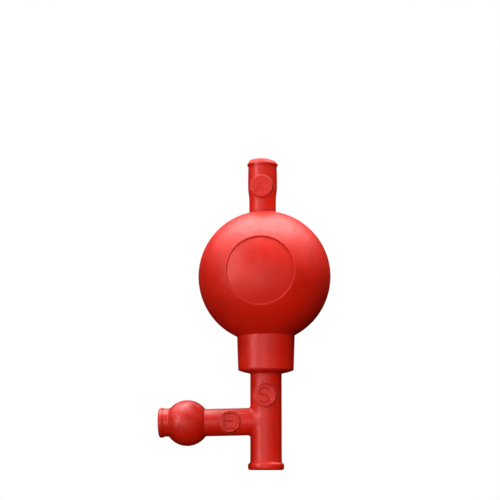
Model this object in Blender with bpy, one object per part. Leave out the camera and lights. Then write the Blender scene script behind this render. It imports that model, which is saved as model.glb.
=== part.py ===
"""Three-valve pipette filler: a squeeze bulb with an air valve above it and, below it, a suction
valve, a pipette socket and a side arm with the exhaust valve and a small blow-out bulb.

Frame: metres, +Z up along the suction tube, the origin at the centre of the pipette socket's mouth.
The front, which the thumb presses, faces -Y. The exhaust arm points to -X.

Each valve is a glass ball gripped by its rubber tube. Pinching the two pads beside it lets air past.
The rubber walls that a hand moves are solids of their own: the bulb's front and rear walls, the six
pads and the small bulb's two walls. Each slides along Y.
"""

import math

import bmesh
import bpy
from mathutils import Matrix

# Clearances
GAP = 0.0003  # between two solids that touch on the real object
MEMBRANE = 0.0004  # rubber left between a ball's pocket and the recess of a pad
PAD_CLEARANCE = 0.0002  # left under a pad that is pressed home

# Squeeze bulb, with its neck
BULB_R = 0.0300
BULB_Z = 0.0873
BULB_WALL = 0.0025
NECK_TOP_R = 0.0129
NECK_END_R = 0.01255
NECK_BORE_R = 0.0098
NECK_END_Z = 0.0446
NECK_EDGE = 0.0005
LEAN_PIVOT_Z = 0.0510  # the bulb leans a little on its stopper, towards the exhaust arm
LEAN = math.radians(1.0)

# Thumb wall: the recessed medallion in the bulb's front, and the same one behind
WALL_R = 0.0150
WALL_STEP = 0.0005  # how far its edge lies under the bulb's surface
WALL_CURVE_R = 0.0380  # flatter than the bulb

# Air tube, upright on top of the leaning bulb
AIR_X = -0.00145
AIR_FOOT_R = 0.0061
AIR_R = 0.00663
AIR_FLARE_Z = 0.1222  # where the tube starts to widen over the ball
AIR_FLARE = 0.0062
AIR_VALVE_Z = 0.1281
AIR_RIM_R = 0.0068
AIR_RIM_Z = 0.1382
AIR_RIM_EDGE = 0.0007
AIR_TOP_Z = 0.1405
AIR_BORE_R = 0.0032
AIR_INNER_BORE_R = 0.0030

# Suction tube: stopper head in the neck, valve, side port and pipette socket
STOPPER_R = NECK_BORE_R - GAP
STOPPER_Z = 0.0429
STOPPER_TOP_Z = 0.0585
STOPPER_EDGE = 0.0006
SUCTION_R = 0.0071
SUCTION_VALVE_Z = 0.0331
SUCTION_BORE_R = 0.0026
CHANNEL_R = 0.0022  # from the valve down to the socket
PORT_R = 0.0020  # from the channel into the exhaust arm
SOCKET_R = 0.0035
SOCKET_DEPTH = 0.0145
SOCKET_RIM_R = 0.0082
SOCKET_RIM_Z = 0.0029
LEAD_IN = 0.0006  # chamfer at the mouth of a bore

# Exhaust arm and small bulb: distances run from the suction tube's axis
ARM_Z = 0.0218
ARM_DROOP = math.radians(1.15)  # the arm hangs a little below square
ARM_R = 0.00605
ARM_BORE_R = 0.0024
ARM_START = 0.0024
ARM_VALVE = 0.0160
ARM_END = 0.0290
SMALL_BULB = 0.0356
SMALL_BULB_R = 0.01025
SMALL_BULB_WALL = 0.0022
SMALL_WALL_R = 0.0046
MOUTH_NECK_R = 0.0065
MOUTH_RIM_R = 0.0069
MOUTH_RIM = 0.0460
MOUTH_EDGE = 0.0006
MOUTH_END = 0.0484
MOUTH_BORE_R = 0.0044

# Valves: glass ball, pads and their travel
AIR_BALL_R = 0.0040
SUCTION_BALL_R = 0.0045
EXHAUST_BALL_R = 0.0038
PAD_R = 0.0052
EXHAUST_PAD_R = 0.0049
PAD_HEIGHT = 0.0009  # how far a pad stands proud of its tube
PAD_EDGE = 0.0004
PAD_TRAVEL = 0.0012
EXHAUST_PAD_TRAVEL = 0.0010

BULB_SEGMENTS = 32
WINDOW_SEGMENTS = 36
TUBE_SEGMENTS = 24
BALL_SEGMENTS = 16
MERGE = 1e-7

UPRIGHT = Matrix.Identity(4)
ALONG_ARM = Matrix.Rotation(math.radians(-90), 4, "Y")  # local Z to -X
TO_FRONT = Matrix.Rotation(math.radians(90), 4, "X")  # local Z to -Y
TO_REAR = Matrix.Rotation(math.radians(-90), 4, "X")  # local Z to +Y
SIDES = (("front", TO_FRONT), ("rear", TO_REAR))


# ---------------------------------------------------------------- scene and materials


def clear_scene():
    for obj in list(bpy.data.objects):
        bpy.data.objects.remove(obj, do_unlink=True)


def make_material(name, colour, roughness, transmission=0.0):
    made = bpy.data.materials.new(name)
    made.use_nodes = True
    shader = made.node_tree.nodes["Principled BSDF"]
    shader.inputs["Base Color"].default_value = (*colour, 1.0)
    shader.inputs["Roughness"].default_value = roughness
    shader.inputs["Metallic"].default_value = 0.0
    shader.inputs["Transmission Weight"].default_value = transmission
    return made


def tilted_frame(name, height, tilt):
    """An empty on the Z axis. Its children are placed as if it were upright."""
    frame = bpy.data.objects.new(name, None)
    frame.location = (0, 0, height)
    frame.rotation_euler = (0, -tilt, 0)
    bpy.context.scene.collection.objects.link(frame)
    return frame


def tilt_with(frame, *objects):
    for obj in objects:
        obj.parent = frame
        obj.matrix_parent_inverse = Matrix.Translation(-frame.location)


# ---------------------------------------------------------------- solids


def add_object(name, bm, centre, material=None):
    """The bmesh as a new smooth-shaded object, with its faces pointing out."""
    bmesh.ops.recalc_face_normals(bm, faces=bm.faces[:])
    mesh = bpy.data.meshes.new(name)
    bm.to_mesh(mesh)
    bm.free()
    mesh.shade_smooth()
    mesh.set_sharp_from_angle(angle=math.radians(35))
    if material:
        mesh.materials.append(material)
    obj = bpy.data.objects.new(name, mesh)
    obj.location = centre
    bpy.context.scene.collection.objects.link(obj)
    return obj


def turned(name, outline, turn=UPRIGHT, centre=(0, 0, 0), material=None, segments=TUBE_SEGMENTS):
    """A turned solid from its (radius, height) outline about local Z, laid over and placed.
    An outline that starts and ends on the axis is a full body, and any other closes into a ring."""
    bm = bmesh.new()
    points = [bm.verts.new((radius, 0.0, height)) for radius, height in outline]
    edges = [bm.edges.new(pair) for pair in zip(points, points[1:])]
    if outline[0][0] > 0:
        edges.append(bm.edges.new((points[-1], points[0])))
    bmesh.ops.spin(
        bm,
        geom=points + edges,
        cent=(0, 0, 0),
        axis=(0, 0, 1),
        angle=math.tau,
        steps=segments,
        use_merge=True,
    )
    bmesh.ops.remove_doubles(bm, verts=bm.verts[:], dist=MERGE)
    bmesh.ops.transform(bm, matrix=turn, verts=bm.verts[:])
    return add_object(name, bm, centre, material)


def cutter(name, radius, low, high, turn=UPRIGHT, centre=(0, 0, 0), segments=TUBE_SEGMENTS):
    """A cylinder for Boolean work, from one height to the other along its own axis."""
    outline = [(0, low), (radius, low), (radius, high), (0, high)]
    obj = turned(name, outline, turn, centre, segments=segments)
    obj.hide_render = True
    obj.display_type = "WIRE"
    return obj


def cut(obj, tool):
    modifier = obj.modifiers.new(f"cut by {tool.name}", "BOOLEAN")
    modifier.operation = "DIFFERENCE"
    modifier.solver = "EXACT"
    modifier.object = tool


def arc(radius, height, start, end, steps):
    """Points on a circle whose centre is on the axis. Angles are latitudes, in radians."""
    angles = [start + (end - start) * i / steps for i in range(steps + 1)]
    return [(radius * math.cos(a), height + radius * math.sin(a)) for a in angles]


def latitude(sphere_r, r):
    """The latitude at which a sphere is r away from its axis."""
    return math.acos(r / sphere_r)


def rise(sphere_r, r):
    """How far above a sphere's centre its surface is, r away from its axis."""
    return math.sqrt(sphere_r**2 - r**2)


def soft_flare(low, high, start, end, steps):
    """Points of an S-shaped change of radius, from low at height start to high at end."""
    shares = [i / steps for i in range(steps + 1)]
    return [(low + (high - low) * s * s * (3 - 2 * s), start + (end - start) * s) for s in shares]


def dome(outer_r, inner_r, centre, rim_r, steps):
    """Outline of a domed wall from pole to rim and back, centre being its curve's height."""
    outer = arc(outer_r, centre, math.pi / 2, latitude(outer_r, rim_r), steps)
    inner = arc(inner_r, centre, latitude(inner_r, rim_r), math.pi / 2, steps)
    outer[0] = (0, outer[0][1])
    inner[-1] = (0, inner[-1][1])
    return outer + inner


# ---------------------------------------------------------------- bulb


def build_bulb_shell(frame, rubber):
    """Hollow ball and neck, with a round window for each thumb wall and a hole for the air tube."""
    inner_r = BULB_R - BULB_WALL
    air_hole_r = AIR_FOOT_R + GAP
    top_r = air_hole_r / 2  # where the outline stops, inside that hole
    outline = [(NECK_END_R - NECK_EDGE, NECK_END_Z), (NECK_END_R, NECK_END_Z + NECK_EDGE)]
    outline += arc(BULB_R, BULB_Z, -latitude(BULB_R, NECK_TOP_R), latitude(BULB_R, top_r), 12)
    outline += arc(inner_r, BULB_Z, latitude(inner_r, top_r), -latitude(inner_r, NECK_BORE_R), 10)
    outline += [(NECK_BORE_R, NECK_END_Z)]
    shell = turned("bulb_shell", outline, material=rubber, segments=BULB_SEGMENTS)
    window = cutter(
        "bulb_window_cutter",
        WALL_R + GAP / 2,
        -2 * BULB_R,
        2 * BULB_R,
        TO_FRONT,
        (0, 0, BULB_Z),
        WINDOW_SEGMENTS,
    )
    air_hole = cutter(
        "air_hole_cutter", air_hole_r, BULB_R / 2, 2 * BULB_R, centre=(AIR_X, 0, BULB_Z)
    )
    cut(shell, window)
    cut(shell, air_hole)
    tilt_with(frame, shell, window)


def build_bulb_walls(frame, rubber):
    """The two thumb walls. The origin of each is the bulb's centre, on its line of travel."""
    curve_centre = rise(BULB_R, WALL_R) - WALL_STEP - rise(WALL_CURVE_R, WALL_R)
    outline = dome(WALL_CURVE_R, WALL_CURVE_R - BULB_WALL, curve_centre, WALL_R - GAP / 2, 4)
    for side, turn in SIDES:
        wall = turned(
            f"bulb_{side}_wall", outline, turn, (0, 0, BULB_Z), rubber, WINDOW_SEGMENTS
        )
        tilt_with(frame, wall)


# ---------------------------------------------------------------- valves


def valve_ball(name, radius, centre, glass):
    bm = bmesh.new()
    bmesh.ops.create_uvsphere(
        bm, u_segments=BALL_SEGMENTS, v_segments=BALL_SEGMENTS // 2 + 1, radius=radius
    )
    return add_object(name, bm, centre, glass)


def pad_outline(radius, face):
    """A round button from the tube's axis out to its bevelled face."""
    return [
        (0, 0),
        (radius, 0),
        (radius, face - PAD_EDGE),
        (radius - PAD_EDGE / 3, face - PAD_EDGE / 3),
        (radius - PAD_EDGE, face),
        (0, face),
    ]


def build_valve(name, tube, tube_r, turn, centre, ball_r, pad_r, travel, rubber, glass):
    """Ball, two pads and their recesses in the tube, round one point of the tube's axis.
    Returns what it made, for a tube that is tilted."""
    face = tube_r + PAD_HEIGHT
    floor_r = ball_r + GAP + MEMBRANE
    back_r = floor_r + travel + PAD_CLEARANCE
    reach = 2 * pad_r
    floor = cutter(f"{name}_recess_floor", floor_r, -reach, reach, turn, centre)
    recess = cutter(f"{name}_recess", pad_r + GAP, -2 * face, 2 * face, TO_FRONT, centre)
    pad_back = cutter(f"{name}_pad_back", back_r, -reach, reach, turn, centre)
    cut(recess, floor)
    cut(tube, recess)
    made = [floor, recess, pad_back, valve_ball(f"{name}_valve_ball", ball_r, centre, glass)]
    for side, facing in SIDES:
        pad = turned(f"{name}_pad_{side}", pad_outline(pad_r, face), facing, centre, rubber)
        cut(pad, pad_back)
        made.append(pad)
    return made


# ---------------------------------------------------------------- air tube


def build_air_tube(rubber, glass):
    pocket_r = AIR_BALL_R + GAP
    pocket_top = latitude(pocket_r, AIR_BORE_R)
    pocket_end = -latitude(pocket_r, AIR_INNER_BORE_R)
    foot_z = BULB_Z + rise(BULB_R - BULB_WALL, AIR_FOOT_R)
    outline = [(AIR_FOOT_R, foot_z)]
    outline += soft_flare(AIR_FOOT_R, AIR_R, AIR_FLARE_Z, AIR_FLARE_Z + AIR_FLARE, 3)
    outline += [
        (AIR_R, AIR_RIM_Z),
        (AIR_RIM_R, AIR_RIM_Z + AIR_RIM_EDGE),
        (AIR_RIM_R, AIR_TOP_Z - AIR_RIM_EDGE),
        (AIR_RIM_R - AIR_RIM_EDGE, AIR_TOP_Z),
        (AIR_BORE_R + LEAD_IN, AIR_TOP_Z),
        (AIR_BORE_R, AIR_TOP_Z - LEAD_IN),
    ]
    outline += arc(pocket_r, AIR_VALVE_Z, pocket_top, pocket_end, 6)
    outline += [(AIR_INNER_BORE_R, foot_z)]
    tube = turned("air_tube", outline, centre=(AIR_X, 0, 0), material=rubber)
    centre = (AIR_X, 0, AIR_VALVE_Z)
    build_valve(
        "air", tube, AIR_R, UPRIGHT, centre, AIR_BALL_R, PAD_R, PAD_TRAVEL, rubber, glass
    )


# ---------------------------------------------------------------- suction tube


def build_suction_tube(arm_frame, rubber, glass):
    """Stopper head, valve and pipette socket in one moulding, with a port to the exhaust arm."""
    pocket_r = SUCTION_BALL_R + GAP
    pocket_top = latitude(pocket_r, SUCTION_BORE_R)
    pocket_end = -latitude(pocket_r, CHANNEL_R)
    outline = [
        (SOCKET_R + LEAD_IN, 0),
        (SOCKET_RIM_R - LEAD_IN, 0),
        (SOCKET_RIM_R, 0.4 * SOCKET_RIM_Z),
        (SOCKET_RIM_R - LEAD_IN / 2, 0.8 * SOCKET_RIM_Z),
        (SUCTION_R, SOCKET_RIM_Z),
        (SUCTION_R, STOPPER_Z),
        (STOPPER_R - STOPPER_EDGE, STOPPER_Z),
        (STOPPER_R, STOPPER_Z + STOPPER_EDGE),
        (STOPPER_R, STOPPER_TOP_Z - STOPPER_EDGE),
        (STOPPER_R - STOPPER_EDGE, STOPPER_TOP_Z),
        (SUCTION_BORE_R, STOPPER_TOP_Z),
    ]
    outline += arc(pocket_r, SUCTION_VALVE_Z, pocket_top, pocket_end, 7)
    outline += [
        (CHANNEL_R, SOCKET_DEPTH + SOCKET_R - CHANNEL_R),
        (SOCKET_R, SOCKET_DEPTH),
        (SOCKET_R, LEAD_IN),
    ]
    tube = turned("suction_tube", outline, material=rubber)
    port = cutter("port_cutter", PORT_R, CHANNEL_R / 4, 2 * SUCTION_R, ALONG_ARM, (0, 0, ARM_Z))
    tilt_with(arm_frame, port)
    cut(tube, port)
    centre = (0, 0, SUCTION_VALVE_Z)
    build_valve(
        "suction", tube, SUCTION_R, UPRIGHT, centre, SUCTION_BALL_R, PAD_R, PAD_TRAVEL, rubber, glass
    )


# ---------------------------------------------------------------- exhaust arm and small bulb


def build_exhaust_arm(frame, rubber, glass):
    """Side arm, its inner end saddled round the suction tube."""
    pocket_r = EXHAUST_BALL_R + GAP
    pocket_top = latitude(pocket_r, ARM_BORE_R)
    pocket_end = -latitude(pocket_r, PORT_R)
    outline = [(ARM_R, ARM_START), (ARM_R, ARM_END), (ARM_BORE_R, ARM_END)]
    outline += arc(pocket_r, ARM_VALVE, pocket_top, pocket_end, 6)
    outline += [(PORT_R, ARM_START)]
    arm = turned("exhaust_arm", outline, ALONG_ARM, (0, 0, ARM_Z), rubber)
    saddle = cutter("saddle_cutter", SUCTION_R + GAP, 0, 2 * ARM_Z, segments=WINDOW_SEGMENTS)
    cut(arm, saddle)
    centre = (-ARM_VALVE, 0, ARM_Z)
    valve = build_valve(
        "exhaust",
        arm,
        ARM_R,
        ALONG_ARM,
        centre,
        EXHAUST_BALL_R,
        EXHAUST_PAD_R,
        EXHAUST_PAD_TRAVEL,
        rubber,
        glass,
    )
    tilt_with(frame, arm, *valve)


def build_small_bulb(frame, rubber):
    """Blow-out bulb with its rimmed mouth, and the two walls that finger and thumb squeeze."""
    inner_r = SMALL_BULB_R - SMALL_BULB_WALL
    arm_hole_r = ARM_R + GAP
    outer_start = -latitude(SMALL_BULB_R, arm_hole_r)
    outer_end = latitude(SMALL_BULB_R, MOUTH_NECK_R)
    inner_start = latitude(inner_r, MOUTH_BORE_R)
    inner_end = -latitude(inner_r, arm_hole_r)
    outline = arc(SMALL_BULB_R, SMALL_BULB, outer_start, outer_end, 8)
    outline += [
        (MOUTH_NECK_R, MOUTH_RIM),
        (MOUTH_RIM_R, MOUTH_RIM + MOUTH_EDGE),
        (MOUTH_RIM_R, MOUTH_END - MOUTH_EDGE),
        (MOUTH_RIM_R - MOUTH_EDGE, MOUTH_END),
        (MOUTH_BORE_R + LEAD_IN, MOUTH_END),
        (MOUTH_BORE_R, MOUTH_END - LEAD_IN),
    ]
    outline += arc(inner_r, SMALL_BULB, inner_start, inner_end, 6)
    shell = turned("exhaust_bulb", outline, ALONG_ARM, (0, 0, ARM_Z), rubber)
    centre = (-SMALL_BULB, 0, ARM_Z)
    window_r = SMALL_WALL_R + GAP / 2
    reach = 2 * SMALL_BULB_R
    window = cutter("small_window_cutter", window_r, -reach, reach, TO_FRONT, centre)
    cut(shell, window)
    tilt_with(frame, shell, window)

    wall_outline = dome(SMALL_BULB_R, inner_r, 0, SMALL_WALL_R - GAP / 2, 3)
    for side, turn in SIDES:
        wall = turned(f"exhaust_bulb_{side}_wall", wall_outline, turn, centre, rubber)
        tilt_with(frame, wall)


def main():
    clear_scene()
    rubber = make_material("red_rubber", (0.56, 0.018, 0.012), 0.5)
    glass = make_material("ball_glass", (0.80, 0.86, 0.84), 0.05, transmission=0.9)
    bulb_frame = tilted_frame("bulb_frame", LEAN_PIVOT_Z, LEAN)
    arm_frame = tilted_frame("arm_frame", ARM_Z, ARM_DROOP)
    build_bulb_shell(bulb_frame, rubber)
    build_bulb_walls(bulb_frame, rubber)
    build_air_tube(rubber, glass)
    build_suction_tube(arm_frame, rubber, glass)
    build_exhaust_arm(arm_frame, rubber, glass)
    build_small_bulb(arm_frame, rubber)


main()
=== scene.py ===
"""Looks of a three-valve pipette filler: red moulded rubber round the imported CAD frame.

Frame: metres, +Z up along the suction tube, the origin at the centre of the pipette socket's mouth.
The front, with the lettered pads, faces -Y. The exhaust arm points to -X.
Lengths are in millimetres until a mesh is made, except the camera's and the lights'.
"""

import math

import bmesh
import bpy
import numpy as np
from mathutils import Matrix, Vector


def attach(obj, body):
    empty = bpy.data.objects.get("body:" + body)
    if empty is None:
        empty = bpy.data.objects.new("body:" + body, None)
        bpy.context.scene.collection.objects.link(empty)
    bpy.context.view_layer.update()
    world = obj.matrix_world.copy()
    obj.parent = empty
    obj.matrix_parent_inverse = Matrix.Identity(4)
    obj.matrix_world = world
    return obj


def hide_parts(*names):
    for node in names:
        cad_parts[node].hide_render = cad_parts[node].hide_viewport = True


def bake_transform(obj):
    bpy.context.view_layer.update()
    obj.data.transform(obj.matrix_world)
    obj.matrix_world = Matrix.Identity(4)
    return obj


MM = 0.001

# Squeeze bulb: a ball that leans a little on its stopper, with a sunk round wall front and back
BULB_R = 30.0
BULB_Z = 87.3
BULB_WALL = 2.5
LEAN = math.radians(1.0)
LEAN_PIVOT_Z = 51.0
WALL_CURVE_R = 36.0  # flatter than the ball
WALL_CURVE_CENTRE = -7.43
RING_R = 15.2  # where the ball's surface steps down to the sunk wall
RING_FLOOR_R = 14.95
SEAM_HEIGHT = 0.07  # mould line where the two halves of the mould met
SEAM_HALF_WIDTH = 0.35

# Collar round the stopper
COLLAR_TOP_R = 13.08
COLLAR_END_R = 12.55
COLLAR_TOP_Z = 60.9
COLLAR_END_Z = 44.6
COLLAR_BORE_R = 9.8

# Air tube
AIR_X = -1.45
AIR_FOOT_R = 6.1
AIR_R = 6.63
AIR_FOOT_Z = 114.2
AIR_FLARE_Z = 122.2
AIR_FLARE = 6.2
AIR_VALVE_Z = 128.1
AIR_RIM_R = 6.98
AIR_RIM_Z = 138.3
AIR_TOP_Z = 140.5
AIR_CROWN = 0.62  # the trimmed rim is uneven: highest a little off its middle, low at both sides
AIR_CROWN_X = -1.0
AIR_CROWN_DROP = 0.85
AIR_CROWN_POWER = 2.6
AIR_CROWN_START = 0.5  # height above AIR_RIM_Z from which the rim is uneven
AIR_BORE_R = 3.2
AIR_INNER_BORE_R = 3.0

# Tee: stopper, suction tube, pipette socket and exhaust arm
STOPPER_R = 9.5
STOPPER_TOP_Z = 58.5
GLUE_R = 12.15  # glue and stopper edge that show under the collar's lip
GLUE_MID = (9.8, 43.8)
GLUE_END_Z = 43.25
SUCTION_R = 7.1
SUCTION_VALVE_Z = 33.1
SUCTION_BORE_R = 2.6
CHANNEL_R = 2.2
SOCKET_R = 3.5
SOCKET_DEPTH = 14.5
SOCKET_RIM_R = 8.2
SOCKET_RIM_Z = 2.9
ARM_Z = 21.8
ARM_DROOP = math.radians(1.15)
ARM_R = 6.15
ARM_BORE_R = 2.4
ARM_VALVE = 16.0
ARM_END = 29.0
PORT_R = 2.0
FILLET = 1.2  # reach of the soft joint between the arm and the suction tube
FILLET_HALF_HEIGHT = 12
TEE_VOXEL = 0.26
FLASH_X = (-11.4, -5.2)  # moulding flash: a short ridge on the arm, between the E pad and the tube
FLASH_TAPER = 0.6
FLASH_LATITUDE = math.radians(33)
FLASH_HEIGHT = 0.3
FLASH_HALF_WIDTH = 0.32

# Small bulb and its mouth: distances run along the arm from the suction tube's axis
SMALL_BULB = 35.6
SMALL_BULB_R = 10.25
SMALL_BULB_WALL = 2.2
MOUTH_NECK_R = 6.35
MOUTH_FILLET = 0.9
MOUTH_ROOT = 2.4  # how far the neck starts inside the small bulb
MOUTH_RIM_R = 6.68
MOUTH_RIM = 46.3
MOUTH_END = 48.4
MOUTH_BORE_R = 4.4
MOUTH_LIFT = 0.45  # the neck sits above the arm's axis, and the rim a little less
RIM_LIFT = 0.25

# Valves
AIR_BALL_R = 4.0
SUCTION_BALL_R = 4.5
EXHAUST_BALL_R = 3.8
BALL_GAP = 0.3
MEMBRANE = 0.4  # rubber left between a ball's pocket and the floor of a pad's recess
AIR_PAD_R = 5.2
SUCTION_PAD_R = 5.2
EXHAUST_PAD_R = 4.9
AIR_TRAVEL = 1.2
SUCTION_TRAVEL = 1.2
EXHAUST_TRAVEL = 1.0
PAD_CLEARANCE = 0.2
PAD_SLIT = 0.04  # between a pad and the tube round it
PAD_HEIGHT = 0.9
PAD_EDGE = 0.55
PAD_RIM = 1.0  # depth of the outline's corner at the rim, rounding included
BACK_SHARES = (1.0, 0.75, 0.5, 0.25, 0.0)  # rings of a pad's or recess's curved back
TOOL_REACH = 4  # how far a recess tool stands out of its tube
TOOL_SPARE = 0.1  # and how far its lowest points lie beyond a fully pressed pad
ACROSS_UPRIGHT = 0  # the local axis that crosses an upright tube
ACROSS_ARM = 1

# Letters: centre lines of thin sunk strokes, (right, up) from a pad's centre
STROKE = 0.32  # half the width of a stroke
STROKE_SLOPE = 0.12  # half the width of the slope at its edge
LETTER_DEPTH = 0.34
AIR_LETTER_DEPTH = 0.20
LETTERED_RING_STEP = 0.13
PLAIN_RING_STEP = 0.5
RIM_GROOVE = 0.16
RIM_GROOVE_SHARE = 0.84  # of the pad's radius
RIM_GROOVE_HALF_WIDTH = 0.3

IDENTITY = Matrix.Identity(4)


def about_y(angle, height):
    """A turn about the Y direction through a point on the Z axis."""
    lift = Matrix.Translation((0, 0, height))
    return lift @ Matrix.Rotation(angle, 4, "Y") @ lift.inverted()


LEANING = about_y(-LEAN, LEAN_PIVOT_Z)
DROOPING = about_y(-ARM_DROOP, ARM_Z)
TO_FRONT = Matrix.Rotation(math.radians(90), 4, "X")  # local Z to -Y, local Y up
TO_REAR = Matrix.Rotation(math.radians(-90), 4, "X")
ALONG_ARM = DROOPING @ Matrix.Translation((0, 0, ARM_Z)) @ Matrix.Rotation(math.radians(-90), 4, "Y")
SIDES = (("front", TO_FRONT), ("rear", TO_REAR))


# ---------------------------------------------------------------- outlines


def rounded(corners, closed=True, turn_step=math.radians(10)):
    """A (radius, height) outline through (radius, height, rounding) corners."""
    points = []
    for i, (r, z, size) in enumerate(corners):
        here = np.array((r, z))
        if size == 0 or (not closed and i in (0, len(corners) - 1)):
            points.append((r, z))
            continue
        back = np.array(corners[i - 1][:2]) - here
        ahead = np.array(corners[(i + 1) % len(corners)][:2]) - here
        back, ahead = back / np.linalg.norm(back), ahead / np.linalg.norm(ahead)
        opening = math.acos(float(np.clip(back @ ahead, -1, 1)))
        turn = math.pi - opening
        middle = back + ahead
        centre = here + middle / np.linalg.norm(middle) * size / math.sin(opening / 2)
        reach = size / math.tan(opening / 2)
        start, end = here + back * reach - centre, here + ahead * reach - centre
        steps = max(2, math.ceil(turn / turn_step))
        for k in range(steps + 1):
            share = k / steps
            point = start * math.sin((1 - share) * turn) + end * math.sin(share * turn)
            points.append(tuple(centre + point / math.sin(turn)))
    return points


def arc(radius, height, start, end, steps):
    """Points on a circle centred on the axis. Angles are latitudes in radians."""
    angles = np.linspace(start, end, steps + 1)
    return [(radius * math.cos(a), height + radius * math.sin(a)) for a in angles]


def latitude(sphere_r, r):
    return math.acos(r / sphere_r)


def rise(sphere_r, r):
    return math.sqrt(sphere_r**2 - r**2)


def soft_steps(low, high, start, end, steps):
    """An S-shaped change of radius from low at height start to high at end."""
    shares = np.linspace(0, 1, steps + 1)
    return [(low + (high - low) * s * s * (3 - 2 * s), start + (end - start) * s) for s in shares]


def filled_in(outline, longest):
    """The outline with points added where two of them lie further apart than longest."""
    points = []
    for (r0, z0), (r1, z1) in zip(outline, outline[1:] + outline[:1]):
        steps = max(1, math.ceil(math.hypot(r1 - r0, z1 - z0) / longest))
        points += [(r0 + (r1 - r0) * k / steps, z0 + (z1 - z0) * k / steps) for k in range(steps)]
    return points


# ---------------------------------------------------------------- meshes


def lathe(outline, segments):
    """Vertices and faces of a body turned about Z. An outline from axis to axis is a full body,
    and any other closes into a ring."""
    angles = np.arange(segments) * math.tau / segments
    vertices, rows = [], []
    for r, z in outline:
        if r < 1e-6:
            rows.append([len(vertices)] * segments)
            vertices.append((0.0, 0.0, z))
        else:
            rows.append(list(range(len(vertices), len(vertices) + segments)))
            vertices += [(r * math.cos(a), r * math.sin(a), z) for a in angles]
    if outline[0][0] > 1e-6:
        rows.append(rows[0])
    faces = []
    for low, high in zip(rows, rows[1:]):
        for i in range(segments):
            j = (i + 1) % segments
            face = list(dict.fromkeys((low[i], low[j], high[j], high[i])))
            if len(face) > 2:
                faces.append(face)
    return np.array(vertices), faces


def add_object(name, vertices, faces, place=IDENTITY, crease=40):
    """A new smooth-shaded object from millimetre vertices, laid in place, in metres."""
    turn = np.array(place)
    points = (vertices @ turn[:3, :3].T + turn[:3, 3]) * MM
    mesh = bpy.data.meshes.new(name)
    mesh.from_pydata([tuple(p) for p in points], [], faces)
    bm = bmesh.new()
    bm.from_mesh(mesh)
    bmesh.ops.recalc_face_normals(bm, faces=bm.faces[:])
    bm.to_mesh(mesh)
    bm.free()
    obj = bpy.data.objects.new(name, mesh)
    bpy.context.scene.collection.objects.link(obj)
    shade(obj, crease)
    return obj


def shade(obj, crease):
    obj.data.shade_smooth()
    obj.data.set_sharp_from_angle(angle=math.radians(crease))


def turned(name, outline, segments, place=IDENTITY, crease=40):
    return add_object(name, *lathe(outline, segments), place, crease)


def apply_modifiers(obj):
    """The object's mesh becomes what its modifiers make of it."""
    evaluated = obj.evaluated_get(bpy.context.evaluated_depsgraph_get())
    mesh = bpy.data.meshes.new_from_object(evaluated)
    obj.modifiers.clear()
    old, obj.data = obj.data, mesh
    mesh.name = obj.name
    bpy.data.meshes.remove(old)


def cut(obj, tools, crease=40):
    """The tools' solids are cut away from obj, and the tools are removed."""
    for tool in tools:
        modifier = obj.modifiers.new("cut", "BOOLEAN")
        modifier.operation = "DIFFERENCE"
        modifier.solver = "EXACT"
        modifier.object = tool
    apply_modifiers(obj)
    for tool in tools:
        bpy.data.objects.remove(tool)
    shade(obj, crease)


def points_of(obj):
    """The vertices of an object at the origin, in millimetres."""
    co = np.empty(len(obj.data.vertices) * 3, np.float32)
    obj.data.vertices.foreach_get("co", co)
    return co.reshape(-1, 3).astype(float) / MM


def set_points(obj, points):
    obj.data.vertices.foreach_set("co", (points * MM).astype(np.float32).ravel())
    obj.data.update()


# ---------------------------------------------------------------- squeeze bulb and collar


def mould_line(radius):
    """The raised end of a half ball's outline, where it meets the other half."""
    return [(radius + SEAM_HEIGHT * 0.7, SEAM_HALF_WIDTH * 0.4), (radius + SEAM_HEIGHT, 0)]


def bulb_half(name, place):
    """Half of the ball about local Z, with its sunk wall and its mould line."""
    floor_z = WALL_CURVE_CENTRE + rise(WALL_CURVE_R, RING_FLOOR_R)
    wall_end = latitude(WALL_CURVE_R, RING_FLOOR_R - 0.6)
    wall = arc(WALL_CURVE_R, WALL_CURVE_CENTRE, math.pi / 2, wall_end, 22)
    wall[0] = (0.0, wall[0][1])
    step = rounded(
        [
            (*wall[-1], 0),
            (RING_FLOOR_R, floor_z, 0.10),
            (RING_R, rise(BULB_R, RING_R), 0.22),
            (RING_R + 0.8, rise(BULB_R, RING_R + 0.8), 0),
        ],
        closed=False,
        turn_step=math.radians(12),
    )
    ball = arc(BULB_R, 0, latitude(BULB_R, step[-1][0]), SEAM_HALF_WIDTH / BULB_R, 52)[1:]
    inner_r = BULB_R - BULB_WALL
    inside = arc(inner_r, 0, 0, latitude(inner_r, RING_R), 24)
    inner_wall_r = WALL_CURVE_R - BULB_WALL
    inside += arc(
        inner_wall_r, WALL_CURVE_CENTRE, latitude(inner_wall_r, RING_FLOOR_R), math.pi / 2, 8
    )
    inside[-1] = (0.0, inside[-1][1])
    outline = wall[:-1] + step + ball + mould_line(BULB_R) + inside
    return turned(name, outline, 192, place, crease=50)


def build_bulb(rubber):
    for side, turn in SIDES:
        place = LEANING @ Matrix.Translation((0, 0, BULB_Z)) @ turn
        half = bulb_half(f"bulb_{side}_skin", place)
        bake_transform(half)
        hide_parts(f"bulb_{side}_wall", "bulb_shell")
        finish_piece(half, rubber)


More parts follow.
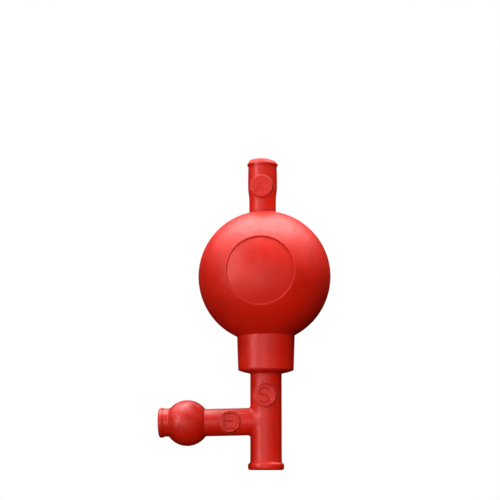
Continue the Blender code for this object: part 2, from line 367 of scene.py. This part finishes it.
def build_collar(rubber):
    outline = rounded(
        [
            (COLLAR_BORE_R, COLLAR_END_Z + 0.4, 0),
            (COLLAR_BORE_R + 0.3, COLLAR_END_Z + 0.1, 0.2),
            (COLLAR_END_R, COLLAR_END_Z, 0.45),
            (COLLAR_TOP_R, COLLAR_TOP_Z, 0.4),
            (COLLAR_TOP_R - 2.6, COLLAR_TOP_Z + 0.6, 0.5),
            (COLLAR_BORE_R, COLLAR_TOP_Z + 0.6, 0),
        ]
    )
    collar = turned("collar_skin", filled_in(outline, 1.2), 168)
    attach(collar, "root")
    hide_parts("bulb_shell")
    finish_piece(collar, rubber)


# ---------------------------------------------------------------- valves


def stroke_distance(points, lines):
    """Distance from each 2-D point to the nearest of the polylines."""
    nearest = np.full(len(points), 1e9)
    for line in lines:
        for a, b in zip(line, line[1:]):
            a, b = np.array(a), np.array(b)
            along = np.clip((points - a) @ (b - a) / ((b - a) @ (b - a)), 0, 1)
            gap = np.linalg.norm(points - a - along[:, None] * (b - a), axis=1)
            nearest = np.minimum(nearest, gap)
    return nearest


def bow(centre, size, start, end, steps=14):
    """A polyline along part of an ellipse, angles in degrees."""
    angles = np.radians(np.linspace(start, end, steps))
    return [(centre[0] + size[0] * math.cos(a), centre[1] + size[1] * math.sin(a)) for a in angles]


def letter_a(wide, tall):
    x, y = wide / 2, tall / 2
    return [[(-x, -y), (0, y), (x, -y)], [(-0.6 * x, -0.25 * y), (0.6 * x, -0.25 * y)]]


def letter_s(wide, tall):
    x, y = wide / 2, tall / 4
    return [bow((0, y), (x, y), 25, 270) + bow((0, -y), (x, y), 90, -155)]


def letter_e(wide, tall):
    x, y = wide / 2, tall / 2
    return [[(x, y), (-x, y), (-x, -y), (x, -y)], [(-x, 0), (0.75 * x, 0)]]


def shifted(lines, right, up):
    return [[(x + right, y + up) for x, y in line] for line in lines]


def back_height(points, across, radius, lowest=0.0):
    """Height over the tube's axis of a cylinder round that axis, never less than lowest."""
    return np.sqrt(np.maximum(radius**2 - points[:, across] ** 2, lowest**2))


def pad_piece(name, valve, place, letter):
    """A round button with a rounded edge, its back curved round the tube's axis."""
    radius, face = valve["pad_r"], valve["tube_r"] + PAD_HEIGHT
    ring_step = LETTERED_RING_STEP if letter else PLAIN_RING_STEP
    rings = np.linspace(0, radius - PAD_EDGE, math.ceil(radius / ring_step))
    outline = [(float(r), face) for r in rings[:-1]]
    outline += rounded(
        [(radius - PAD_EDGE - 0.01, face, 0), (radius, face, PAD_EDGE), (radius, face - PAD_RIM, 0)],
        closed=False,
    )
    outline += [(radius * share, 0.0) for share in BACK_SHARES]
    vertices, faces = lathe(outline, 132)
    back = vertices[:, 2] < 0.01
    vertices[back, 2] = back_height(vertices[back], valve["across"], valve["back_r"])
    top = vertices[:, 2] > face - 1e-6
    if letter:
        gap = stroke_distance(vertices[top, :2], letter)
        share = np.clip((STROKE + STROKE_SLOPE - gap) / (2 * STROKE_SLOPE), 0, 1)
        vertices[top, 2] -= valve["letter_depth"] * share * share * (3 - 2 * share)
        off_groove = np.abs(np.hypot(vertices[top, 0], vertices[top, 1]) - RIM_GROOVE_SHARE * radius)
        vertices[top, 2] -= valve["rim_groove"] * np.clip(1 - off_groove / RIM_GROOVE_HALF_WIDTH, 0, 1)
    return add_object(name, vertices, faces, place, crease=60)


def recess_tool(valve, turn, place):
    """The hole a pad sits in, down to a floor curved round the tube's axis."""
    radius, top = valve["pad_r"] + PAD_SLIT, valve["tube_r"] + TOOL_REACH
    outline = [(0.0, top), (radius, top)] + [(radius * share, 0.0) for share in BACK_SHARES]
    vertices, faces = lathe(outline, 132)
    back = vertices[:, 2] < 0.01
    lowest = rise(valve["back_r"], valve["pad_r"]) - valve["travel"] - TOOL_SPARE
    vertices[back, 2] = back_height(vertices[back], valve["across"], valve["floor_r"], lowest)
    return add_object("recess_tool", vertices, faces, place @ turn)


def valve_facts(ball_r, pad_r, tube_r, travel, across, letter_depth=LETTER_DEPTH, rim_groove=RIM_GROOVE):
    """A valve's sizes. floor_r and back_r are the radii about the tube's axis of the recess's floor
    and of the pad's back."""
    floor_r = ball_r + BALL_GAP + MEMBRANE
    return {
        "pad_r": pad_r,
        "tube_r": tube_r,
        "travel": travel,
        "across": across,
        "floor_r": floor_r,
        "back_r": floor_r + travel + PAD_CLEARANCE,
        "letter_depth": letter_depth,
        "rim_groove": rim_groove,
    }


def add_pads(name, valve, place, letter, rubber):
    """The front pad, with its letter, and the plain rear one."""
    for side, turn in SIDES:
        mark = letter if side == "front" else None
        pad = pad_piece(f"{name}_pad_{side}_skin", valve, place @ turn, mark)
        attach(pad, f"{name}_pad_{side}")
        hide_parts(f"{name}_pad_{side}")
        finish_piece(pad, rubber)


# ---------------------------------------------------------------- air tube


def build_air_tube(rubber, pad_rubber):
    pocket_r = AIR_BALL_R + BALL_GAP
    flare = soft_steps(AIR_FOOT_R, AIR_R, AIR_FLARE_Z, AIR_FLARE_Z + AIR_FLARE, 8)
    corners = [(AIR_FOOT_R, AIR_FOOT_Z, 0)] + [(r, z, 0) for r, z in flare]
    corners += [
        (AIR_R, AIR_VALVE_Z + 5, 0),
        (AIR_R - 0.12, AIR_RIM_Z - 0.15, 0.25),
        (AIR_RIM_R, AIR_RIM_Z + 0.05, 0.35),
        (AIR_RIM_R, AIR_RIM_Z + 0.8, 0.5),
        (AIR_RIM_R - 1.0, AIR_TOP_Z, 0.6),
        (AIR_BORE_R + 0.5, AIR_TOP_Z, 0.5),
        (AIR_BORE_R, AIR_TOP_Z - 1.2, 0.6),
    ]
    pocket = arc(
        pocket_r, AIR_VALVE_Z, latitude(pocket_r, AIR_BORE_R), -latitude(pocket_r, AIR_INNER_BORE_R), 14
    )
    corners += [(r, z, 0) for r, z in pocket] + [(AIR_INNER_BORE_R, AIR_FOOT_Z, 0)]
    outline = filled_in(rounded(corners), 0.9)
    vertices, faces = lathe(outline, 144)
    start = AIR_RIM_Z + AIR_CROWN_START
    share = np.clip((vertices[:, 2] - start) / (AIR_TOP_Z - start), 0, 1)
    off_crown = np.minimum(np.abs(vertices[:, 0] - AIR_CROWN_X) / AIR_R, 1.0)
    vertices[:, 2] += share * (AIR_CROWN - AIR_CROWN_DROP * off_crown**AIR_CROWN_POWER)
    middle = Matrix.Translation((AIR_X, 0, 0))
    tube = add_object("air_tube_skin", vertices, faces, middle)
    valve = valve_facts(
        AIR_BALL_R, AIR_PAD_R, AIR_R, AIR_TRAVEL, ACROSS_UPRIGHT, AIR_LETTER_DEPTH, rim_groove=0.0
    )
    centre = Matrix.Translation((AIR_X, 0, AIR_VALVE_Z))
    cut(tube, [recess_tool(valve, turn, centre) for _, turn in SIDES])
    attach(tube, "root")
    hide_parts("air_tube")
    finish_piece(tube, rubber)
    letter = shifted(letter_a(3.3, 4.1), -0.45, -0.85)  # it sits low and left on its pad
    add_pads("air", valve, centre, letter, pad_rubber)


# ---------------------------------------------------------------- tee


def soft_joint(points):
    """Moves points near the crease between arm and suction tube onto a soft joint of the two."""
    slope = math.tan(ARM_DROOP)

    def distances(p):
        arm_axis_z = ARM_Z + p[:, 0] * slope
        tube = np.hypot(p[:, 0], p[:, 1]) - SUCTION_R
        arm = np.hypot(p[:, 1], p[:, 2] - arm_axis_z) - ARM_R
        return tube, arm

    def field(p):
        tube, arm = distances(p)
        overlap = np.maximum(FILLET - np.abs(tube - arm), 0) / FILLET
        return np.minimum(tube, arm) - overlap**2 * FILLET / 4

    tube, arm = distances(points)
    near = (points[:, 0] < 0) & (np.abs(points[:, 2] - ARM_Z) < FILLET_HALF_HEIGHT)
    near &= (np.maximum(tube, arm) < FILLET * 1.3) & (np.minimum(tube, arm) > -0.6)
    p = points[near]
    step = 1e-3
    for _ in range(6):
        value = field(p)
        slopes = [(field(p + step * axis) - value) / step for axis in np.eye(3)]
        gradient = np.stack(slopes, axis=1)
        length = np.maximum((gradient**2).sum(1), 0.2)
        p = p - (value / length)[:, None] * gradient
    points[near] = p
    return points


def raise_flash(points):
    """A short low ridge along the arm's upper front, between the E pad and the tube."""
    across = points[:, 2] - ARM_Z - points[:, 0] * math.tan(ARM_DROOP)
    along = np.clip((points[:, 0] - FLASH_X[0]) / FLASH_TAPER, 0, 1)
    along *= np.clip((FLASH_X[1] - points[:, 0]) / FLASH_TAPER, 0, 1)
    off = (np.arctan2(across, -points[:, 1]) - FLASH_LATITUDE) * ARM_R
    on_arm = np.abs(np.hypot(across, points[:, 1]) - ARM_R) < 0.5
    height = FLASH_HEIGHT * along * on_arm * np.exp(-((off / FLASH_HALF_WIDTH) ** 2))
    points[:, 1] -= height * math.cos(FLASH_LATITUDE)
    points[:, 2] += height * math.sin(FLASH_LATITUDE)
    return points


def build_tee(rubber, pad_rubber):
    body = rounded(
        [
            (0, 0, 0),
            (SOCKET_RIM_R - 0.1, 0, 1.0),
            (SOCKET_RIM_R, SOCKET_RIM_Z, 1.15),
            (SUCTION_R + 0.05, SOCKET_RIM_Z + 0.35, 0.4),
            (SUCTION_R, SOCKET_RIM_Z + 3, 0),
            (SUCTION_R, GLUE_END_Z - 0.05, 0.35),
            (*GLUE_MID, 1.0),
            (GLUE_R, COLLAR_END_Z - 0.1, 0.12),
            (GLUE_R - 0.4, COLLAR_END_Z + 0.3, 0),
            (STOPPER_R, COLLAR_END_Z + 0.4, 0),
            (STOPPER_R, STOPPER_TOP_Z, 0.6),
            (0, STOPPER_TOP_Z, 0),
        ],
        closed=False,
    )
    tee = turned("tee_skin", body, 160)
    arm_outline = rounded(
        [(0, 0, 0), (ARM_R, 0, 0), (ARM_R, ARM_END + 0.8, 1.6), (0, ARM_END + 0.8, 0)], closed=False
    )
    arm = turned("arm", arm_outline, 144, ALONG_ARM)
    union = tee.modifiers.new("union", "BOOLEAN")
    union.operation, union.solver, union.object = "UNION", "EXACT", arm
    remesh = tee.modifiers.new("remesh", "REMESH")
    remesh.mode, remesh.voxel_size, remesh.adaptivity = "VOXEL", TEE_VOXEL * MM, 0
    apply_modifiers(tee)
    bpy.data.objects.remove(arm)
    set_points(tee, raise_flash(soft_joint(points_of(tee))))

    pocket_r = SUCTION_BALL_R + BALL_GAP
    bore = [(0.0, -1.0), (SOCKET_R + 0.9, -1.0)]
    bore += [(SOCKET_R + 0.6, 0.0), (SOCKET_R + 0.15, 0.35), (SOCKET_R, 0.9), (SOCKET_R, SOCKET_DEPTH)]
    bore += [(CHANNEL_R, SOCKET_DEPTH + SOCKET_R - CHANNEL_R)]
    bore += arc(
        pocket_r, SUCTION_VALVE_Z, -latitude(pocket_r, CHANNEL_R), latitude(pocket_r, SUCTION_BORE_R), 16
    )
    bore += [(SUCTION_BORE_R, STOPPER_TOP_Z + 1), (0.0, STOPPER_TOP_Z + 1)]
    arm_pocket_r = EXHAUST_BALL_R + BALL_GAP
    arm_bore = [(0.0, CHANNEL_R / 2), (PORT_R, CHANNEL_R / 2)]
    arm_bore += arc(
        arm_pocket_r, ARM_VALVE, -latitude(arm_pocket_r, PORT_R), latitude(arm_pocket_r, ARM_BORE_R), 14
    )
    arm_bore += [(ARM_BORE_R, ARM_END + 2), (0.0, ARM_END + 2)]

    suction = valve_facts(SUCTION_BALL_R, SUCTION_PAD_R, SUCTION_R, SUCTION_TRAVEL, ACROSS_UPRIGHT)
    suction_centre = Matrix.Translation((0, 0, SUCTION_VALVE_Z))
    exhaust = valve_facts(EXHAUST_BALL_R, EXHAUST_PAD_R, ARM_R, EXHAUST_TRAVEL, ACROSS_ARM)
    exhaust_centre = DROOPING @ Matrix.Translation((-ARM_VALVE, 0, ARM_Z))
    tools = [recess_tool(suction, turn, suction_centre) for _, turn in SIDES]
    tools += [recess_tool(exhaust, turn, exhaust_centre) for _, turn in SIDES]
    tools += [turned("bore_tool", bore, 96), turned("arm_bore_tool", arm_bore, 72, ALONG_ARM)]
    cut(tee, tools)
    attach(tee, "root")
    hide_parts("suction_tube", "exhaust_arm")
    finish_piece(tee, rubber)
    add_pads("suction", suction, suction_centre, letter_s(4.0, 6.6), pad_rubber)
    add_pads("exhaust", exhaust, exhaust_centre, letter_e(4.1, 6.7), pad_rubber)


# ---------------------------------------------------------------- small bulb


def build_small_bulb(rubber):
    inner_r = SMALL_BULB_R - SMALL_BULB_WALL
    centre = DROOPING @ Matrix.Translation((-SMALL_BULB, 0, ARM_Z))
    outline = arc(SMALL_BULB_R, 0, math.pi / 2, SEAM_HALF_WIDTH / SMALL_BULB_R, 34)
    outline += mould_line(SMALL_BULB_R)
    outline += arc(inner_r, 0, 0, math.pi / 2, 16)
    outline[0], outline[-1] = (0.0, SMALL_BULB_R), (0.0, inner_r)
    for side, turn in SIDES:
        half = turned(f"exhaust_bulb_{side}_skin", outline, 128, centre @ turn, crease=50)
        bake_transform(half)
        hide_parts(f"exhaust_bulb_{side}_wall", "exhaust_bulb")
        finish_piece(half, rubber)


def build_mouth(rubber):
    fillet_r = MOUTH_NECK_R + MOUTH_FILLET
    fillet_z = SMALL_BULB + rise(SMALL_BULB_R + MOUTH_FILLET, fillet_r)
    contact = math.atan2(fillet_r, fillet_z - SMALL_BULB)
    sweep = np.linspace(math.pi / 2 - contact, 0, 9)
    flare = [
        (fillet_r - MOUTH_FILLET * math.cos(a), fillet_z - MOUTH_FILLET * math.sin(a)) for a in sweep
    ]
    root_z = fillet_z - MOUTH_ROOT
    corners = [(MOUTH_BORE_R, root_z, 0), (MOUTH_NECK_R - 0.6, root_z, 0.4)]
    corners += [(r, z, 0) for r, z in flare]
    corners += [
        (MOUTH_NECK_R, MOUTH_RIM - 0.1, 0.3),
        (MOUTH_RIM_R, MOUTH_RIM + 0.1, 0.5),
        (MOUTH_RIM_R, MOUTH_END, 0.9),
        (MOUTH_BORE_R + 0.5, MOUTH_END, 0.5),
        (MOUTH_BORE_R, MOUTH_END - 1.2, 0.6),
    ]
    vertices, faces = lathe(filled_in(rounded(corners), 0.8), 128)
    heights = (root_z, fillet_z, MOUTH_RIM, MOUTH_END)
    vertices[:, 0] += np.interp(vertices[:, 2], heights, (0, MOUTH_LIFT, MOUTH_LIFT, RIM_LIFT))
    mouth = add_object("exhaust_mouth_skin", vertices, faces, ALONG_ARM)
    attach(mouth, "root")
    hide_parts("exhaust_bulb")
    finish_piece(mouth, rubber)


# ---------------------------------------------------------------- materials


def finish_piece(obj, material):
    obj.data.materials.clear()
    obj.data.materials.append(material)


class Tree:
    """Short ways to add and join a material's nodes."""

    def __init__(self, name):
        self.material = bpy.data.materials.new(name)
        self.material.use_nodes = True
        self.nodes = self.material.node_tree.nodes
        self.shader = self.nodes["Principled BSDF"]
        self.where = self.nodes.new("ShaderNodeTexCoord").outputs["Object"]

    def join(self, source, target):
        self.material.node_tree.links.new(source, target)

    def noise(self, size, detail=3.0, roughness=0.5, distortion=0.0):
        """Noise whose features are about size millimetres across."""
        node = self.nodes.new("ShaderNodeTexNoise")
        node.inputs["Scale"].default_value = 1 / (size * MM)
        node.inputs["Detail"].default_value = detail
        node.inputs["Roughness"].default_value = roughness
        node.inputs["Distortion"].default_value = distortion
        self.join(self.where, node.inputs["Vector"])
        return node.outputs["Fac"]

    def spread(self, value, low, high, to_low, to_high):
        """Maps low..high to to_low..to_high, clamped and soft at both ends."""
        node = self.nodes.new("ShaderNodeMapRange")
        node.interpolation_type = "SMOOTHSTEP"
        sockets = ("From Min", "From Max", "To Min", "To Max")
        for socket, number in zip(sockets, (low, high, to_low, to_high)):
            node.inputs[socket].default_value = number
        self.join(value, node.inputs["Value"])
        return node.outputs["Result"]

    def maths(self, operation, a, b):
        node = self.nodes.new("ShaderNodeMath")
        node.operation = operation
        for socket, value in zip(node.inputs, (a, b)):
            if isinstance(value, (int, float)):
                socket.default_value = value
            else:
                self.join(value, socket)
        return node.outputs[0]

    def mix(self, share, a, b):
        node = self.nodes.new("ShaderNodeMix")
        node.data_type = "RGBA"
        self.join(share, node.inputs["Factor"])
        for socket, value in ((node.inputs[6], a), (node.inputs[7], b)):
            if isinstance(value, tuple):
                socket.default_value = (*value, 1.0)
            else:
                self.join(value, socket)
        return node.outputs[2]

    def openness(self, distance, inside=False):
        """1 on open surfaces, less where other surfaces stand within distance millimetres. With inside,
        less near outward edges. It masks the painted shade in creases and the painted highlight on
        edges."""
        node = self.nodes.new("ShaderNodeAmbientOcclusion")
        node.samples = 8
        node.inside = inside
        node.only_local = inside
        node.inputs["Distance"].default_value = distance * MM
        return node.outputs["AO"]

    def bump(self, height, distance, strength=1.0, after=None):
        """A bump whose height of 1 stands distance millimetres high."""
        node = self.nodes.new("ShaderNodeBump")
        node.inputs["Strength"].default_value = strength
        node.inputs["Distance"].default_value = distance * MM
        self.join(height, node.inputs["Height"])
        if after is not None:
            self.join(after, node.inputs["Normal"])
        return node.outputs["Normal"]


RUBBER_DEEP = (0.62, 0.0082, 0.0007)
RUBBER_MID = (0.75, 0.0115, 0.0010)
RUBBER_DUSTY = (0.74, 0.030, 0.018)
RUBBER_WEAR_AND_HIGHLIGHT = (0.86, 0.075, 0.055)  # on outward edges: wear and painted highlight
RUBBER_DARK_TONE = (0.20, 0.0035, 0.0012)  # darker tone: dirt and painted shade in the creases, and the darkening towards the mouth
RUBBER_WAVES = 0.10  # bump heights: uneven moulding, coarse grain and fine grain
COARSE_GRAIN = 0.030
FINE_GRAIN = 0.014
# the rubber gets darker from here to there along -X, towards the mouth
DARKENING_FROM_X = -7.0
DARKENING_TO_X = -22.0


def rubber_material(
    name, roughness, dust, dirt_and_shade, crease_reach=1.6, grain=1.0, seam=False, darker_to_mouth=False
):
    """Moulded red rubber: uneven pigment, a thin dusty bloom, outward edges lightened as wear and
    painted highlight, creases darkened as dirt and painted shade, and a fine grain.
    """
    tree = Tree(name)
    blotches = tree.spread(tree.noise(14, 3, 0.55), 0.32, 0.68, 0, 0.7)
    blotches = tree.maths("ADD", blotches, tree.spread(tree.noise(1.3, 2, 0.6), 0.35, 0.65, 0, 0.3))
    colour = tree.mix(blotches, RUBBER_DEEP, RUBBER_MID)
    speckle = tree.noise(0.8, 3, 0.7)
    bloom = tree.spread(tree.noise(6, 5, 0.65, 0.6), 0.50, 0.80, 0, dust)
    bloom = tree.maths("MULTIPLY", bloom, tree.spread(speckle, 0.35, 0.65, 0.5, 1.0))
    colour = tree.mix(bloom, colour, RUBBER_DUSTY)
    # outward edges lightened: wear and painted highlight
    edge_wear_and_highlight = tree.spread(tree.openness(0.7, inside=True), 0.45, 0.95, 0.6, 0)
    edge_wear_and_highlight = tree.maths("MULTIPLY", edge_wear_and_highlight, tree.spread(speckle, 0.3, 0.7, 0.4, 1))
    colour = tree.mix(edge_wear_and_highlight, colour, RUBBER_WEAR_AND_HIGHLIGHT)
    # creases darkened: dirt and painted shade
    crease = tree.spread(tree.openness(crease_reach), 0.40, 0.95, dirt_and_shade, 0)
    colour = tree.mix(crease, colour, RUBBER_DARK_TONE)
    split = tree.nodes.new("ShaderNodeSeparateXYZ")
    tree.join(tree.where, split.inputs[0])
    if darker_to_mouth:  # darker towards the mouth, along -X
        mouth_darkening = tree.spread(split.outputs["X"], DARKENING_TO_X * MM, DARKENING_FROM_X * MM, 0.22, 0)
        colour = tree.mix(mouth_darkening, colour, RUBBER_DARK_TONE)
    tree.join(colour, tree.shader.inputs["Base Color"])
    gloss = tree.spread(tree.noise(3.0, 4, 0.65), 0.3, 0.7, roughness - 0.08, roughness + 0.08)
    gloss = tree.maths("ADD", gloss, tree.maths("MULTIPLY", bloom, 0.16))
    gloss = tree.maths("ADD", gloss, tree.spread(speckle, 0.3, 0.7, -0.07, 0.07))
    gloss = tree.maths("ADD", gloss, tree.maths("MULTIPLY", crease, 0.5))
    tree.join(gloss, tree.shader.inputs["Roughness"])
    normal = tree.bump(tree.noise(7, 2, 0.5), RUBBER_WAVES, 0.6)
    normal = tree.bump(tree.noise(2.4, 3, 0.6), COARSE_GRAIN * grain, 1.0, normal)
    normal = tree.bump(tree.noise(0.9, 3, 0.7), FINE_GRAIN * grain, 1.0, normal)
    if seam:
        off_seam = tree.maths("ABSOLUTE", split.outputs["Y"], 0)
        ridge = tree.spread(off_seam, 0.0, SEAM_HALF_WIDTH * MM, 1, 0)
        normal = tree.bump(ridge, SEAM_HEIGHT, 0.8, normal)
    tree.join(normal, tree.shader.inputs["Normal"])
    tree.shader.inputs["Specular IOR Level"].default_value = 0.5
    tree.shader.inputs["IOR"].default_value = 1.52
    return tree.material


def glass_material():
    """Valve balls: slightly green glass with a fine polish and a trace of dust."""
    tree = Tree("valve_ball_glass")
    haze = tree.spread(tree.noise(1.2, 4, 0.6), 0.45, 0.75, 0, 1)
    tint = tree.mix(haze, (0.80, 0.88, 0.86), (0.90, 0.92, 0.90))
    tree.join(tint, tree.shader.inputs["Base Color"])
    tree.join(tree.spread(haze, 0, 1, 0.04, 0.16), tree.shader.inputs["Roughness"])
    tree.join(tree.bump(tree.noise(0.8, 2), 0.004, 0.5), tree.shader.inputs["Normal"])
    tree.shader.inputs["Transmission Weight"].default_value = 0.9
    tree.shader.inputs["IOR"].default_value = 1.5
    return tree.material


def finish_balls(nodes, glass):
    for name in ("air_valve_ball", "suction_valve_ball", "exhaust_valve_ball"):
        ball = nodes[name]
        ball.data.materials.clear()
        ball.data.materials.append(glass)
        ball.data.shade_smooth()
        fine = ball.modifiers.new("fine", "SUBSURF")
        fine.levels = fine.render_levels = 2


# ---------------------------------------------------------------- stage, light and camera

BLACK = (0.0, 0.0, 0.0)
WHITE = (1.0, 1.0, 1.0)

# Camera: metres, and the lens in millimetres
CAMERA_AZIMUTH = math.radians(4.6)
CAMERA_DISTANCE = 0.800
CAMERA_Z = -0.008
CAMERA_SIDE = -0.0072
CAMERA_PITCH = math.radians(7.657)
LENS = 127.5
SENSOR_WIDTH = 36.0

# Floor and backdrop: millimetres. Both fades are distances from the Z axis.
FLOOR_Z = -16.5
FLOOR_R = 350.0
FLOOR_THICKNESS = 2.0
FLOOR_ALBEDO = 0.40
FLOOR_FADE = (140.0, FLOOR_R)
DOME_R = 2400.0
DOME_FADE = (-2000.0, -1000.0)  # over before the axis, so all of the dome is white

# Light: metres, watts and degrees
LIGHT_TARGET = (0.0, 0.0, 0.075)
WORLD_STRENGTH = 0.02


def fading_white(name, albedo, fade):
    """A pale matt surface that turns into a glowing white between two distances from the Z axis."""
    tree = Tree(name)
    split = tree.nodes.new("ShaderNodeSeparateXYZ")
    tree.join(tree.where, split.inputs[0])
    squares = [tree.maths("POWER", split.outputs[axis], 2.0) for axis in ("X", "Y")]
    away = tree.maths("SQRT", tree.maths("ADD", *squares), 0)
    whiteness = tree.spread(away, fade[0] * MM, fade[1] * MM, 0, 1)
    mottle = tree.spread(tree.noise(40, 2), 0.3, 0.7, 0, 1)
    matt = tree.mix(mottle, (albedo * 0.985,) * 3, (albedo,) * 3)
    tree.join(tree.mix(whiteness, matt, BLACK), tree.shader.inputs["Base Color"])
    tree.join(tree.mix(whiteness, BLACK, WHITE), tree.shader.inputs["Emission Color"])
    tree.shader.inputs["Emission Strength"].default_value = 1.0
    tree.shader.inputs["Roughness"].default_value = 0.9
    tree.shader.inputs["Specular IOR Level"].default_value = 0.0
    return tree.material


def hide_from_object(obj):
    """The camera still sees this, but it neither lights the object nor shows in it."""
    obj.visible_diffuse = obj.visible_glossy = False
    obj.visible_transmission = obj.visible_shadow = False


def build_stage():
    """A floor below the object, clear of the main view, and a white dome round everything."""
    rings = [0.0, 120.0, 240.0, FLOOR_R]
    floor_outline = [(r, 0.0) for r in rings] + [(r, -FLOOR_THICKNESS) for r in reversed(rings)]
    floor = turned("floor", floor_outline, 96, Matrix.Translation((0, 0, FLOOR_Z)))
    floor.data.materials.append(fading_white("pale_floor", FLOOR_ALBEDO, FLOOR_FADE))
    dome_outline = arc(DOME_R, 0, -math.pi / 2, math.pi / 2, 48)
    dome_outline[0], dome_outline[-1] = (0.0, -DOME_R), (0.0, DOME_R)
    dome = turned("backdrop", dome_outline, 96)
    dome.data.materials.append(fading_white("white_backdrop", 0.0, DOME_FADE))
    hide_from_object(floor)
    hide_from_object(dome)


def softbox(name, azimuth, elevation, distance, size, watts, diffuse=True, glossy=True):
    """An area light aimed at the object. Azimuth 0 is in front of it, at -Y, and grows to +X."""
    a, e = math.radians(azimuth), math.radians(elevation)
    back = Vector((math.sin(a) * math.cos(e), -math.cos(a) * math.cos(e), math.sin(e)))
    data = bpy.data.lights.new(name, "AREA")
    data.shape, (data.size, data.size_y) = "RECTANGLE", size
    data.energy = watts
    lamp = bpy.data.objects.new(name, data)
    lamp.location = Vector(LIGHT_TARGET) + back * distance
    lamp.rotation_mode = "QUATERNION"
    lamp.rotation_quaternion = back.to_track_quat("Z", "Y")
    lamp.visible_diffuse, lamp.visible_glossy = diffuse, glossy
    bpy.context.scene.collection.objects.link(lamp)


def build_light():
    """A bank of three softboxes overhead, one at each side, a tall strip that only draws the long
    highlight on the tubes, and scrims in front, below and behind that leave no highlight."""
    softbox("overhead_softbox", 4, 94, 0.9, (1.0, 0.6), 10.5)
    softbox("overhead_rear_softbox", 4, 114, 0.9, (1.8, 0.6), 8.0)
    softbox("overhead_front_softbox", 4, 72, 0.9, (1.2, 0.5), 4.0)
    softbox("left_softbox", -80, 45, 1.0, (0.8, 0.8), 2.4)
    softbox("right_softbox", 84, 45, 1.0, (0.8, 0.8), 2.0)
    softbox("strip_softbox", -47, 12, 0.92, (0.14, 0.7), 3.3, diffuse=False)
    softbox("front_scrim", -10, 0, 1.6, (0.9, 0.8), 15.0, glossy=False)
    softbox("front_right_scrim", 25, 0, 1.6, (0.8, 0.8), 3.5, glossy=False)
    softbox("low_scrim", -10, -35, 1.6, (0.8, 0.8), 2.2, glossy=False)
    softbox("back_scrim", 184, 0, 1.6, (0.9, 0.8), 11.0, glossy=False)
    world = bpy.data.worlds.new("studio")
    world.use_nodes = True
    world.node_tree.nodes["Background"].inputs["Color"].default_value = (*WHITE, 1.0)
    world.node_tree.nodes["Background"].inputs["Strength"].default_value = WORLD_STRENGTH
    world.cycles_visibility.glossy = False
    bpy.context.scene.world = world


def build_camera():
    data = bpy.data.cameras.new("camera")
    data.lens, data.sensor_width = LENS, SENSOR_WIDTH
    data.clip_start, data.clip_end = 0.01, 20.0
    camera = bpy.data.objects.new("camera", data)
    a, p = CAMERA_AZIMUTH, CAMERA_PITCH
    camera.location = (
        math.sin(a) * CAMERA_DISTANCE + math.cos(a) * CAMERA_SIDE,
        -math.cos(a) * CAMERA_DISTANCE + math.sin(a) * CAMERA_SIDE,
        CAMERA_Z,
    )
    ahead = Vector((-math.sin(a) * math.cos(p), math.cos(a) * math.cos(p), math.sin(p)))
    camera.rotation_mode = "QUATERNION"
    camera.rotation_quaternion = ahead.to_track_quat("-Z", "Y")
    bpy.context.scene.collection.objects.link(camera)
    bpy.context.scene.camera = camera


# ---------------------------------------------------------------- scene

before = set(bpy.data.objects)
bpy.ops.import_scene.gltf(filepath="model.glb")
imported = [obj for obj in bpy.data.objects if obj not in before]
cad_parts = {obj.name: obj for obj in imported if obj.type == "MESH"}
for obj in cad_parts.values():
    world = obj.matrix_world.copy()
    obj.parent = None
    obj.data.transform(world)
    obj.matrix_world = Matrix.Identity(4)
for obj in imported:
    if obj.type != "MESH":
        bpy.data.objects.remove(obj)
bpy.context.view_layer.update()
bulb_rubber = rubber_material("bulb_rubber", 0.45, dust=0.28, dirt_and_shade=0.4)
collar_rubber = rubber_material("collar_rubber", 0.40, dust=0.25, dirt_and_shade=0.4, grain=1.2, seam=True)
tube_rubber = rubber_material(
    "tube_rubber", 0.40, dust=0.25, dirt_and_shade=0.9, crease_reach=3.2, grain=1.6, seam=True, darker_to_mouth=True
)
pad_rubber = rubber_material("pad_rubber", 0.46, dust=0.45, dirt_and_shade=0.8, grain=1.4, darker_to_mouth=True)
small_bulb_rubber = rubber_material(
    "small_bulb_rubber", 0.43, dust=0.28, dirt_and_shade=0.9, grain=1.2, darker_to_mouth=True
)
build_bulb(bulb_rubber)
build_collar(collar_rubber)
build_air_tube(tube_rubber, pad_rubber)
build_tee(tube_rubber, pad_rubber)
build_small_bulb(small_bulb_rubber)
build_mouth(tube_rubber)
finish_balls(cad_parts, glass_material())
build_stage()
build_light()
build_camera()
bpy.context.scene.view_settings.view_transform = "Standard"
